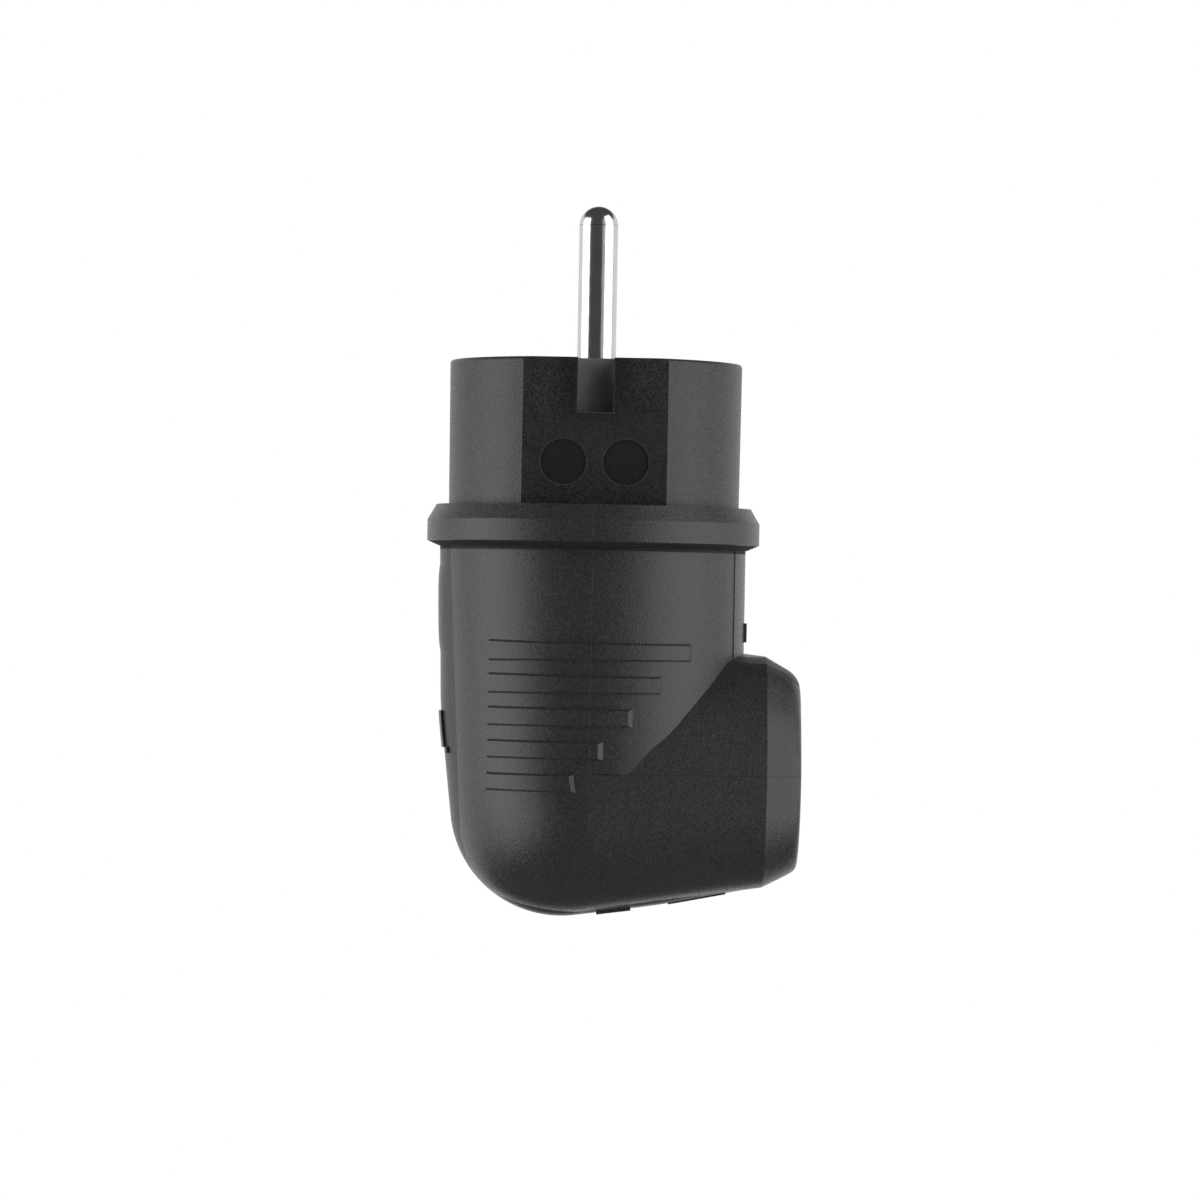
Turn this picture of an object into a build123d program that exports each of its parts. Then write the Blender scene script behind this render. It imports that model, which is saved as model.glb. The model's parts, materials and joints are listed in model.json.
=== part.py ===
from build123d import *
import os
from math import cos, radians, sin, sqrt

os.makedirs("parts", exist_ok=True)

# Angled two-pin mains plug. The origin is the centre of the front face, +Z points along the pins
# and +X towards the cable outlet. The pins stand on the Y axis. Sizes are in millimetres.

# Fits
slip_gap = 0.05
seat_gap = 0.1
thread_gap = 0.05

# Contact pins
pin_dia = 4.8
pin_length = 19.0
pin_spacing = 19.0
pin_seat_dia = 5.2
pin_head_dia = 7.2
pin_head_top = -8.5
pin_tail_dia = 6.2
pin_tail_end = -36.5
wire_hole_dia = 3.4
wire_hole_depth = 9.0

# Front insert
face_dia = 37.0
root_dia = 36.75
insert_height = 18.1
flat_distance = 32.4
flat_root_distance = 32.12
key_groove_width = 4.5
key_groove_height = 6.75
key_groove_depth = 2.9
mark_disc_dia = 5.7
mark_disc_depth = 0.32
mark_disc_x = 3.85
mark_disc_z = -12.85
spigot_end = -24.2
spigot_wall = 2.8
front_wall = 7.8
pin_boss_dia = 10.0
center_boss_dia = 8.2
face_edge_round = 0.5
web_thick = 3.0

# Collar of the housing
collar_dia = 41.8
collar_height = 5.2
collar_top_bevel_in = 1.1
collar_top_bevel_down = 1.9
collar_low_bevel_in = 1.5
collar_low_bevel_up = 0.65
mouth_gap = 0.1
ledge_z = -25.1
ledge_width = 1.4

# Elbow of the housing
barrel_dia = 38.2
heel_reach = 17.5
heel_depth = 17.9
heel_power = 3.1
outlet_z = -51.1
outlet_root_crown = 18.1
outlet_shoulder_x = 21.9
outlet_shoulder_half_width = 16.4
outlet_shoulder_half_height = 14.5
outlet_shoulder_crown = 14.84
outlet_end_x = 26.22
outlet_end_half_width = 14.1
outlet_end_half_height = 12.27
outlet_end_crown = 12.32
outlet_edge_round = 0.8
outlet_side_lean = 0.155
outlet_side_bow = 0.37
outlet_side_turn = 0.088
outlet_cap_bow = 0.385
cavity_dia = 31.2

# Flattened top of the outlet
top_round = 30.0
top_half_width = 10.0
top_cut_height = 6.0
top_inner_x = 13.0
top_inner_z = 15.6
top_shoulder_z = 14.58
top_end_x = 27.0
top_end_z = 11.7

# Raised band round the back and the heel, and the band on the inner side of the elbow
band_half_width = 6.5
band_round = 9.0
band_depth = 4.6
band_top_x = -19.32
band_bend_x = -18.82
band_bend_z = -44.0
band_corner_x = -15.72
band_corner_z = -71.42
band_sag_x = 9.0
band_sag_z = -68.05
band_end_x = 21.7
band_end_z = -65.55
band_bend_round = 60.0
band_heel_round = 14.0
band_sag_round = 100.0
inner_band_rise = 0.1
inner_band_half_width = 7.3
inner_band_depth = 4.0
inner_band_sink = 0.6

# Grip bars on both sides of the elbow
grip_count = 5
grip_pitch = 4.045
grip_first_z = -36.16
grip_height = 2.24
grip_wall = 0.25
grip_rise = 0.4
grip_end_run = 0.7
grip_left_x = -12.6
grip_first_right_x = 12.35
grip_step_x = 3.55
grip_root = 3.0

# Earth parts
strap_width = 5.2
strap_thick = 0.8
strap_inset = 0.3
strap_tip_z = -1.6
strap_tip_lean = 0.9
strap_lean_height = 2.4
earth_hole_x = -10.0
earth_hole_dia = 5.4
sleeve_bore_dia = 5.0
sleeve_dia = 6.4
sleeve_top = -5.2
sleeve_floor = -20.0
sleeve_slit = 0.8
earth_boss_dia = 9.4
earth_screw_x = 8.6
clamp_washer_side = 6.6
clamp_washer_thick = 1.0

# Screws
center_screw_dia = 4.0
center_screw_head_dia = 7.0
center_screw_head_height = 2.6
center_screw_end = -40.0
center_head_sink = 0.8
terminal_screw_dia = 2.9
terminal_screw_head_dia = 4.6
terminal_screw_head_height = 1.7
terminal_screw_z = -31.6
earth_screw_dia = 3.4
earth_screw_head_dia = 5.6
earth_screw_head_height = 2.2
earth_screw_end = -17.5
retainer_screw_dia = 2.2
retainer_screw_head_dia = 4.4
retainer_screw_head_height = 1.6
retainer_screw_end = -16.0
retainer_edge = 2.75
retainer_turn = 46.3
retainer_post_dia = 5.2
clamp_screw_dia = 3.0
clamp_screw_head_dia = 4.6
clamp_screw_head_height = 2.0
clamp_screw_end = -61.0
slot_width = 0.9
slot_depth = 0.9

# Rear plate that holds the pins and the earth strap in the insert
plate_gap = 0.4
plate_thick = 2.0
plate_window_width = 8.4
plate_window_start = 4.4

# Screw pillar, thread bush, cable clamp and cable seal
pillar_dia = 9.0
pillar_root = 0.5
pillar_top = -26.7
bush_dia = 6.0
bush_length = 10.0
bush_sink = 0.6
clamp_setback = 7.0
clamp_length = 4.4
clamp_end_gap = 0.2
clamp_edge = 2.4
clamp_hole_dia = 9.2
clamp_post_dia = 5.0
clamp_ear_thick = 2.4
clamp_arch_thick = 1.4
passage_dia = 13.0
seal_dia = 19.0
seal_bore_dia = 9.0
seal_bore_length = 7.0
seal_wall = 0.6
seal_throat_dia = 12.0
seal_end_gap = 0.5

# Sealing ring between the insert and the housing
ring_gap = 0.17

pin_y = pin_spacing / 2
barrel_r = barrel_dia / 2
collar_r = collar_dia / 2
collar_top = -insert_height
collar_end = collar_top - collar_height
form_top = collar_top - collar_height / 2
cavity_r = cavity_dia / 2
spigot_r = cavity_r + ledge_width
mouth_r = spigot_r + mouth_gap
flat_y = flat_distance / 2
flat_root_y = flat_root_distance / 2
flat_lean = (flat_y - flat_root_y) / insert_height
plate_top = spigot_end
plate_end = plate_top - plate_thick
strap_base_top = spigot_end + strap_thick
strap_leg_x = spigot_r - strap_inset - strap_thick
plate_r = cavity_r - plate_gap
retainer_screw_x = (plate_r - retainer_edge) * cos(radians(retainer_turn))
retainer_screw_y = (plate_r - retainer_edge) * sin(radians(retainer_turn))
clamp_x = cavity_r - clamp_setback
clamp_far_x = clamp_x + clamp_length / 2
clamp_half_span = sqrt(cavity_r**2 - clamp_far_x**2) - clamp_end_gap
clamp_screw_y = clamp_half_span - clamp_edge
seal_inner_x = cavity_r + seal_wall
form_drop = form_top - outlet_z
outlet_rise = (heel_depth - outlet_shoulder_half_height) / outlet_shoulder_x
band_slant = (band_top_x - band_bend_x) / (form_top - band_bend_z)
band_start_x = band_top_x + band_slant * (collar_top - form_top)
grip_last_z = grip_first_z - grip_pitch * (grip_count - 0.5)
grip_last_squeeze = sqrt(1 - ((outlet_z - grip_last_z) / heel_depth) ** 2)


def heel_below(share):
    rounded = heel_depth * (1 - share**heel_power) ** (1 / heel_power)
    return rounded + outlet_rise * heel_reach * share * (1 - share) ** 4


def heel_plane(share):
    lean = (barrel_r - heel_reach) * share
    start = (-barrel_r * share, 0, form_top)
    return Plane(origin=start, x_dir=(0, 1, 0), z_dir=(form_drop, 0, lean))


def outlet_outline(half_width, crown, half_height):
    sides = [
        (1 - outlet_side_lean * up - outlet_side_bow * up**2 - outlet_side_turn * up**4, up)
        for up in (0, 0.25, 0.5, 0.7, 0.86)
    ]
    caps = [(across, 1 - outlet_cap_bow * across**2) for across in (0.42, 0.28, 0.14, 0)]
    right = sides + caps
    left = [(-across, up) for across, up in reversed(right[:-1])]
    points = [(half_width * across, outlet_z + crown * up) for across, up in right + left]
    lean = outlet_side_lean * half_width
    Spline(points, tangents=[(-lean, crown), (-lean, -crown)])
    EllipticalCenterArc((0, outlet_z), half_width, half_height, 180, arc_size=180)


def screw_on(plane, shank_dia, shank_length, head_dia, head_height):
    with BuildPart() as screw:
        with BuildSketch(plane):
            Circle(head_dia / 2)
        extrude(amount=head_height)
        with BuildSketch(plane):
            Circle(shank_dia / 2)
        extrude(amount=-shank_length)
        with BuildSketch(plane.offset(head_height)):
            Rectangle(head_dia * 1.2, slot_width)
        extrude(amount=-slot_depth, mode=Mode.SUBTRACT)
    return screw.part


# Raised band that runs down the back, round the heel and along the underside of the outlet
with BuildPart() as back_band:
    with BuildLine(Plane.XZ) as spine:
        Polyline(
            (band_start_x, collar_top),
            (band_bend_x, band_bend_z),
            (band_corner_x, band_corner_z),
            (band_sag_x, band_sag_z),
            (band_end_x, band_end_z),
        )
        fillet(spine.vertices().sort_by(Axis.Z)[0], band_heel_round)
        fillet(spine.vertices().sort_by(Axis.Z)[-2], band_bend_round)
        fillet(spine.vertices().sort_by(Axis.X)[-2], band_sag_round)
    path = spine.wires()[0]
    across = Plane(origin=path @ 0, x_dir=(0, 1, 0), z_dir=path % 0)
    with BuildSketch(across):
        band_crown = band_round - sqrt(band_round**2 - band_half_width**2)
        with BuildLine():
            ThreePointArc((-band_half_width, band_crown), (0, 0), (band_half_width, band_crown))
            Polyline(
                (band_half_width, band_crown),
                (band_half_width, band_depth),
                (-band_half_width, band_depth),
                (-band_half_width, band_crown),
            )
        make_face()
    sweep(path=path)
    # top trimmed flat inside the collar
    with BuildSketch(Plane.XY.offset(form_top)):
        Circle(barrel_dia)
    extrude(amount=collar_height, mode=Mode.SUBTRACT)

# Grip bars: rings with sloped walls, cut to length and trimmed to an even height over the elbow
with BuildPart() as grip_form:
    for level_z, squeeze in ((form_top, 1.0), (outlet_z, 1.0), (grip_last_z, grip_last_squeeze)):
        sunk = (barrel_r - heel_reach) * (form_top - level_z) / form_drop
        half = barrel_r * squeeze + grip_rise
        with BuildSketch(Plane.XY.offset(level_z)):
            with BuildLine():
                EllipticalCenterArc((0, 0), barrel_r + grip_rise, half, -90, arc_size=180)
                EllipticalCenterArc((0, 0), barrel_r - sunk + grip_rise, half, 90, arc_size=180)
            make_face()
    loft(ruled=True)

with BuildPart() as grips:
    top_r = barrel_r + 2 * grip_rise
    low_r = barrel_r - grip_root
    lean = grip_wall / grip_rise
    top_half = grip_height / 2 - lean * (top_r - barrel_r)
    low_half = grip_height / 2 + lean * (barrel_r - low_r)
    for index in range(grip_count):
        bar_z = grip_first_z - grip_pitch * index
        with BuildSketch(Plane.XZ):
            with BuildLine():
                Polyline(
                    (low_r, bar_z - low_half),
                    (top_r, bar_z - top_half),
                    (top_r, bar_z + top_half),
                    (low_r, bar_z + low_half),
                    close=True,
                )
            make_face()
        revolve(axis=Axis.Z)
        # sloped right ends
        right_x = grip_first_right_x - grip_step_x * index
        right_y = sqrt(barrel_r**2 - right_x**2)
        slope_x = 3 * (grip_rise * right_x - grip_end_run * right_y) / barrel_r
        slope_y = 3 * (grip_rise * right_y + grip_end_run * right_x) / barrel_r
        with BuildSketch(Plane.XY.offset(bar_z)):
            with BuildLine():
                Polyline(
                    (right_x - slope_x, right_y - slope_y),
                    (right_x + slope_x, right_y + slope_y),
                    (right_x + slope_x, collar_dia),
                    (collar_dia, collar_dia),
                    (collar_dia, -collar_dia),
                    (right_x + slope_x, -collar_dia),
                    (right_x + slope_x, -right_y - slope_y),
                    (right_x - slope_x, slope_y - right_y),
                    close=True,
                )
            make_face()
        extrude(amount=low_half, both=True, mode=Mode.SUBTRACT)
    with BuildSketch(Plane.XZ.offset(-collar_dia)):
        with Locations((grip_left_x, form_top)):
            Rectangle(collar_dia, 4 * form_drop, align=(Align.MAX, Align.CENTER))
    extrude(amount=2 * collar_dia, mode=Mode.SUBTRACT)
    add(grip_form.part, mode=Mode.INTERSECT)

# Cable outlet: an oval taper with a squarer crown, a bevelled end and a flattened top
with BuildPart() as outlet:
    with BuildSketch(Plane.YZ):
        with BuildLine():
            outlet_outline(barrel_r, outlet_root_crown, heel_depth)
        make_face()
    with BuildSketch(Plane.YZ.offset(outlet_shoulder_x)):
        with BuildLine():
            outlet_outline(
                outlet_shoulder_half_width, outlet_shoulder_crown, outlet_shoulder_half_height
            )
        make_face()
    loft(ruled=True)
    with BuildSketch(Plane.YZ.offset(outlet_shoulder_x)):
        with BuildLine():
            outlet_outline(
                outlet_shoulder_half_width, outlet_shoulder_crown, outlet_shoulder_half_height
            )
        make_face()
    with BuildSketch(Plane.YZ.offset(outlet_end_x)):
        with BuildLine():
            outlet_outline(outlet_end_half_width, outlet_end_crown, outlet_end_half_height)
        make_face()
    loft(ruled=True)
    fillet(outlet.edges().group_by(Axis.X)[-1], outlet_edge_round)
    top_sag = top_round - sqrt(top_round**2 - top_half_width**2)
    for cut_x, cut_z in (
        (top_inner_x, top_inner_z),
        (outlet_shoulder_x, top_shoulder_z),
        (top_end_x, top_end_z),
    ):
        crest = outlet_z + cut_z
        with BuildSketch(Plane.YZ.offset(cut_x)):
            with BuildLine():
                ThreePointArc(
                    (-top_half_width, crest - top_sag), (0, crest), (top_half_width, crest - top_sag)
                )
                Polyline(
                    (top_half_width, crest - top_sag),
                    (top_half_width, crest + top_cut_height),
                    (-top_half_width, crest + top_cut_height),
                    (-top_half_width, crest - top_sag),
                )
            make_face()
    loft(ruled=True, mode=Mode.SUBTRACT)

# Housing: barrel, tapered oval outlet, rounded heel, collar, raised band and grip bars
with BuildPart() as housing:
    # inner half of the barrel
    with BuildSketch(Plane.XY.offset(outlet_z)):
        with BuildLine():
            CenterArc((0, 0), barrel_r, -90, 180)
            Line((0, barrel_r), (0, -barrel_r))
        make_face()
    extrude(amount=form_drop)
    add(outlet.part)
    # outer half of the barrel and the rounded heel below it
    for share in (0.0, 0.12, 0.3, 0.5, 0.68, 0.82, 0.935):
        half = barrel_r * sqrt(1 - share**2)
        with BuildSketch(heel_plane(share)):
            with BuildLine():
                Line((half, 0), (-half, 0))
                Line((-half, 0), (-half, -form_drop))
                EllipticalCenterArc(
                    (0, -form_drop), half, heel_below(share), 180, arc_size=180
                )
                Line((half, -form_drop), (half, 0))
            make_face()
    loft()
    # bands and grip bars
    add(back_band.part)
    inner_band_r = barrel_r + inner_band_rise
    inner_band_edge_x = sqrt(inner_band_r**2 - inner_band_half_width**2)
    inner_band_root_x = inner_band_edge_x - inner_band_depth
    with BuildSketch(Plane.XY.offset(form_top)):
        with BuildLine():
            ThreePointArc(
                (inner_band_edge_x, -inner_band_half_width),
                (inner_band_r, 0),
                (inner_band_edge_x, inner_band_half_width),
            )
            Polyline(
                (inner_band_edge_x, inner_band_half_width),
                (inner_band_root_x, inner_band_half_width),
                (inner_band_root_x, -inner_band_half_width),
                (inner_band_edge_x, -inner_band_half_width),
            )
        make_face()
    extrude(amount=outlet_z + outlet_shoulder_half_height - inner_band_sink - form_top)
    add(grips.part)
    # collar
    with BuildSketch(Plane.XZ):
        with BuildLine():
            Polyline(
                (0, collar_top),
                (collar_r - collar_top_bevel_in, collar_top),
                (collar_r, collar_top - collar_top_bevel_down),
                (collar_r, collar_end + collar_low_bevel_up),
                (collar_r - collar_low_bevel_in, collar_end),
                (0, collar_end),
                close=True,
            )
        make_face()
    revolve(axis=Axis.Z)
    # mouth, wiring space and cable passage
    with BuildSketch(Plane.XY.offset(collar_top)):
        Circle(mouth_r)
    extrude(amount=ledge_z - collar_top, mode=Mode.SUBTRACT)
    with BuildSketch(Plane.XY.offset(ledge_z)):
        Circle(cavity_r)
    extrude(amount=outlet_z - ledge_z, mode=Mode.SUBTRACT)
    with Locations((0, 0, outlet_z)):
        Sphere(cavity_r, mode=Mode.SUBTRACT)
    with BuildSketch(Plane.YZ.offset(clamp_x)):
        with Locations((0, outlet_z)):
            Circle(passage_dia / 2)
    extrude(amount=outlet_end_x, mode=Mode.SUBTRACT)
    with BuildSketch(Plane.YZ.offset(seal_inner_x)):
        with Locations((0, outlet_z)):
            Circle(seal_dia / 2)
    extrude(amount=outlet_end_x, mode=Mode.SUBTRACT)
    # screw pillar and cable saddle
    pillar_foot = outlet_z - cavity_r - pillar_root
    with BuildSketch(Plane.XY.offset(pillar_foot)):
        Circle(pillar_dia / 2)
    extrude(amount=pillar_top - pillar_foot)
    with BuildSketch(Plane.XY.offset(outlet_z)):
        with Locations((clamp_x, 0)):
            Rectangle(clamp_length, 2 * clamp_screw_y)
        with Locations((clamp_x, clamp_screw_y), (clamp_x, -clamp_screw_y)):
            Circle(clamp_post_dia / 2)
    extrude(amount=clamp_screw_end - outlet_z)
    with BuildSketch(Plane.YZ.offset(clamp_x - clamp_length)):
        with Locations((0, outlet_z)):
            Circle(clamp_hole_dia / 2)
    extrude(amount=2 * clamp_length, mode=Mode.SUBTRACT)
    with BuildSketch(Plane.XY.offset(outlet_z)):
        with Locations((clamp_x, clamp_screw_y), (clamp_x, -clamp_screw_y)):
            Circle(clamp_screw_dia / 2 + thread_gap)
    extrude(amount=clamp_screw_end - outlet_z, mode=Mode.SUBTRACT)
    with BuildSketch(Plane.XY.offset(pillar_top)):
        Circle(bush_dia / 2 + slip_gap)
    extrude(amount=-bush_sink - bush_length, mode=Mode.SUBTRACT)
    with BuildSketch(Plane.XY.offset(pillar_top)):
        Circle(center_screw_dia / 2 + seat_gap)
    extrude(amount=center_screw_end - pillar_top - 1, mode=Mode.SUBTRACT)

# Front insert that carries the pins
with BuildPart() as pin_carrier:
    with BuildSketch(Plane.XZ):
        with BuildLine():
            Polyline(
                (0, 0),
                (face_dia / 2, 0),
                (root_dia / 2, collar_top),
                (spigot_r, collar_top),
                (spigot_r, spigot_end),
                (0, spigot_end),
                close=True,
            )
        make_face()
    revolve(axis=Axis.Z)
    fillet(pin_carrier.edges().group_by(Axis.Z)[-1], face_edge_round)
    # guide flats and key grooves
    with BuildSketch(Plane.YZ):
        with BuildLine():
            Polyline(
                (flat_y + flat_lean, 1),
                (flat_root_y, collar_top),
                (face_dia, collar_top),
                (face_dia, 1),
                close=True,
            )
        make_face()
        mirror(about=Plane.YZ)
    extrude(amount=face_dia, both=True, mode=Mode.SUBTRACT)
    with BuildSketch(Plane.XY):
        with Locations((0, flat_y - key_groove_depth)):
            Rectangle(key_groove_width, face_dia, align=(Align.CENTER, Align.MIN))
        with Locations((0, key_groove_depth - flat_y)):
            Rectangle(key_groove_width, face_dia, align=(Align.CENTER, Align.MAX))
    extrude(amount=-key_groove_height, mode=Mode.SUBTRACT)
    with BuildSketch(Plane.XZ.offset(flat_y)):
        with Locations((mark_disc_x, mark_disc_z), (-mark_disc_x, mark_disc_z)):
            Circle(mark_disc_dia / 2)
    extrude(amount=-mark_disc_depth, mode=Mode.SUBTRACT)
    # hollow back with bosses
    with BuildSketch(Plane.XY.offset(-front_wall)):
        Circle(spigot_r - spigot_wall)
    extrude(amount=spigot_end + front_wall, mode=Mode.SUBTRACT)
    with BuildSketch(Plane.XY.offset(-front_wall)):
        with Locations((0, pin_y), (0, -pin_y)):
            Circle(pin_boss_dia / 2)
        Circle(center_boss_dia / 2)
        Rectangle(web_thick, 2 * pin_y)
        with Locations((earth_hole_x, 0)):
            Circle(earth_boss_dia / 2)
        with Locations((retainer_screw_x, retainer_screw_y), (-retainer_screw_x, -retainer_screw_y)):
            Circle(retainer_post_dia / 2)
    extrude(amount=spigot_end + front_wall)
    # pin, earth and screw holes
    with BuildSketch(Plane.XY):
        with Locations((0, pin_y), (0, -pin_y)):
            Circle(pin_seat_dia / 2 + slip_gap)
        with Locations((earth_hole_x, 0)):
            Circle(earth_hole_dia / 2)
    extrude(amount=pin_head_top, mode=Mode.SUBTRACT)
    with BuildSketch(Plane.XY.offset(spigot_end)):
        with Locations((0, pin_y), (0, -pin_y)):
            Circle(pin_head_dia / 2 + slip_gap)
    extrude(amount=pin_head_top - spigot_end, mode=Mode.SUBTRACT)
    with BuildSketch(Plane.XY.offset(spigot_end)):
        with Locations((earth_hole_x, 0)):
            Circle(sleeve_dia / 2 + slip_gap)
    extrude(amount=sleeve_top - spigot_end, mode=Mode.SUBTRACT)
    with BuildSketch(Plane.XY):
        Circle(center_screw_dia / 2 + seat_gap)
    extrude(amount=spigot_end, mode=Mode.SUBTRACT)
    with BuildSketch(Plane.XY):
        Circle(center_screw_head_dia / 2 + 2 * seat_gap)
    extrude(amount=-center_head_sink - center_screw_head_height, mode=Mode.SUBTRACT)
    with BuildSketch(Plane.XY.offset(spigot_end)):
        with Locations((retainer_screw_x, retainer_screw_y), (-retainer_screw_x, -retainer_screw_y)):
            Circle(retainer_screw_dia / 2 + thread_gap)
    extrude(amount=retainer_screw_end - spigot_end + 0.5, mode=Mode.SUBTRACT)
    # slots and channel for the earth strap
    slot_half = strap_width / 2 + 2 * seat_gap
    for side in (1, -1):
        edge = Align.MIN if side > 0 else Align.MAX
        with BuildSketch(Plane.XY):
            with Locations((side * (strap_leg_x - seat_gap), 0)):
                Rectangle(face_dia, 2 * slot_half, align=(edge, Align.CENTER))
        extrude(amount=spigot_end, mode=Mode.SUBTRACT)
        with BuildSketch(Plane.XY):
            with Locations((side * (strap_leg_x - strap_tip_lean - seat_gap), 0)):
                Rectangle(face_dia, 2 * slot_half, align=(edge, Align.CENTER))
        extrude(amount=strap_tip_z - strap_lean_height, mode=Mode.SUBTRACT)
    with BuildSketch(Plane.XY.offset(spigot_end)):
        Rectangle(face_dia, 2 * slot_half)
    extrude(amount=strap_thick, mode=Mode.SUBTRACT)

# Contact pins: round tip, shaft, head and a tail with a wire hole and a threaded cross hole
def contact_pin(side):
    axis_y = side * pin_y
    pin_r = pin_dia / 2
    with BuildPart() as pin:
        with BuildSketch(Plane.XZ.offset(-axis_y)):
            with BuildLine():
                Line((0, pin_tail_end), (0, pin_length))
                CenterArc((0, pin_length - pin_r), pin_r, 0, 90)
                Polyline(
                    (pin_r, pin_length - pin_r),
                    (pin_r, 0),
                    (pin_seat_dia / 2, 0),
                    (pin_seat_dia / 2, pin_head_top),
                    (pin_head_dia / 2, pin_head_top),
                    (pin_head_dia / 2, spigot_end),
                    (pin_tail_dia / 2, spigot_end),
                    (pin_tail_dia / 2, pin_tail_end),
                    (0, pin_tail_end),
                )
            make_face()
        revolve(axis=Axis((0, axis_y, 0), (0, 0, 1)))
        with BuildSketch(Plane.XY.offset(pin_tail_end)):
            with Locations((0, axis_y)):
                Circle(wire_hole_dia / 2)
        extrude(amount=wire_hole_depth, mode=Mode.SUBTRACT)
        with BuildSketch(Plane.YZ):
            with Locations((axis_y, terminal_screw_z)):
                Circle(terminal_screw_dia / 2 + thread_gap)
        extrude(amount=pin_tail_dia, mode=Mode.SUBTRACT)
    return pin.part


# Screw that clamps the wire in the tail of a pin, driven in from the outlet's side
def terminal_screw(side):
    seat_x = pin_tail_dia / 2 + 3 * seat_gap
    spot = (seat_x, side * pin_y, terminal_screw_z)
    outwards = Plane(origin=spot, x_dir=(0, 1, 0), z_dir=(1, 0, 0))
    reach = seat_x - wire_hole_dia / 4
    return screw_on(
        outwards, terminal_screw_dia, reach, terminal_screw_head_dia, terminal_screw_head_height
    )


with BuildPart() as line_pin:
    add(contact_pin(-1))

with BuildPart() as neutral_pin:
    add(contact_pin(1))

with BuildPart() as line_terminal_screw:
    add(terminal_screw(-1))

with BuildPart() as neutral_terminal_screw:
    add(terminal_screw(1))

# Earth strap: a bridge behind the insert and two side contacts with leaning tips
with BuildPart() as earth_strap:
    outer_x = strap_leg_x + strap_thick
    knee_z = strap_tip_z - strap_lean_height
    with BuildSketch(Plane.XZ):
        with BuildLine():
            Polyline(
                (0, spigot_end),
                (outer_x, spigot_end),
                (outer_x, knee_z),
                (outer_x - strap_tip_lean, strap_tip_z),
                (strap_leg_x - strap_tip_lean, strap_tip_z),
                (strap_leg_x, knee_z),
                (strap_leg_x, strap_base_top),
                (0, strap_base_top),
                close=True,
            )
        make_face()
        mirror(about=Plane.YZ)
    extrude(amount=strap_width / 2, both=True)
    with BuildSketch(Plane.XY.offset(spigot_end)):
        Circle(center_screw_dia / 2 + 3 * seat_gap)
        with Locations((earth_screw_x, 0)):
            Circle(earth_screw_dia / 2 + thread_gap)
    extrude(amount=strap_thick, mode=Mode.SUBTRACT)

# Slit sleeve that takes the earth pin of a socket
with BuildPart() as earth_sleeve:
    with BuildSketch(Plane.XY.offset(strap_base_top)):
        with Locations((earth_hole_x, 0)):
            Circle(sleeve_dia / 2)
    extrude(amount=sleeve_top - seat_gap - strap_base_top)
    with BuildSketch(Plane.XY.offset(sleeve_floor)):
        with Locations((earth_hole_x, 0)):
            Circle(sleeve_bore_dia / 2)
    extrude(amount=sleeve_top - sleeve_floor, mode=Mode.SUBTRACT)
    with BuildSketch(Plane.XY.offset(sleeve_floor + sleeve_slit)):
        with Locations((earth_hole_x, 0)):
            Rectangle(sleeve_slit, 2 * sleeve_dia)
    extrude(amount=sleeve_top - sleeve_floor, mode=Mode.SUBTRACT)

# Square washer and screw of the earth terminal
with BuildPart() as earth_washer:
    with BuildSketch(Plane.XY.offset(spigot_end)):
        with Locations((earth_screw_x, 0)):
            Rectangle(clamp_washer_side, clamp_washer_side)
            Circle(earth_screw_dia / 2 + seat_gap, mode=Mode.SUBTRACT)
    extrude(amount=-clamp_washer_thick)

with BuildPart() as earth_terminal_screw:
    washer_face = spigot_end - clamp_washer_thick
    downwards = Plane(origin=(earth_screw_x, 0, washer_face), x_dir=(1, 0, 0), z_dir=(0, 0, -1))
    reach = earth_screw_end - washer_face
    add(screw_on(downwards, earth_screw_dia, reach, earth_screw_head_dia, earth_screw_head_height))

# Rear plate over the pins and the strap
with BuildPart() as rear_plate:
    with BuildSketch(Plane.XY.offset(plate_top)):
        Circle(plate_r)
        with Locations((0, pin_y), (0, -pin_y)):
            Circle(pin_tail_dia / 2 + seat_gap, mode=Mode.SUBTRACT)
        Circle(center_screw_dia / 2 + 2 * seat_gap, mode=Mode.SUBTRACT)
        with Locations((plate_window_start, 0)):
            Rectangle(
                cavity_dia, plate_window_width, align=(Align.MIN, Align.CENTER), mode=Mode.SUBTRACT
            )
        with Locations((retainer_screw_x, retainer_screw_y), (-retainer_screw_x, -retainer_screw_y)):
            Circle(retainer_screw_dia / 2 + 2 * seat_gap, mode=Mode.SUBTRACT)
    extrude(amount=-plate_thick)


def plate_screw(side):
    spot = (side * retainer_screw_x, side * retainer_screw_y, plate_end)
    downwards = Plane(origin=spot, x_dir=(1, 0, 0), z_dir=(0, 0, -1))
    reach = retainer_screw_end - plate_end
    return screw_on(
        downwards, retainer_screw_dia, reach, retainer_screw_head_dia, retainer_screw_head_height
    )


with BuildPart() as plate_screw_a:
    add(plate_screw(1))

with BuildPart() as plate_screw_b:
    add(plate_screw(-1))

# Screw in the middle of the front face, and the bush in the pillar that it holds in
with BuildPart() as center_screw:
    head_seat = -center_head_sink - center_screw_head_height
    add(
        screw_on(
            Plane.XY.offset(head_seat),
            center_screw_dia,
            head_seat - center_screw_end,
            center_screw_head_dia,
            center_screw_head_height,
        )
    )

with BuildPart() as thread_bush:
    with BuildSketch(Plane.XY.offset(pillar_top - bush_sink)):
        Circle(bush_dia / 2)
        Circle(center_screw_dia / 2 + thread_gap, mode=Mode.SUBTRACT)
    extrude(amount=-bush_length)

# Flat sealing ring on the ledge in the mouth
with BuildPart() as sealing_ring:
    with BuildSketch(Plane.XY.offset(ledge_z)):
        Circle(mouth_r - ring_gap)
        Circle(cavity_r + ring_gap, mode=Mode.SUBTRACT)
    extrude(amount=spigot_end - ledge_z)

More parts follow.
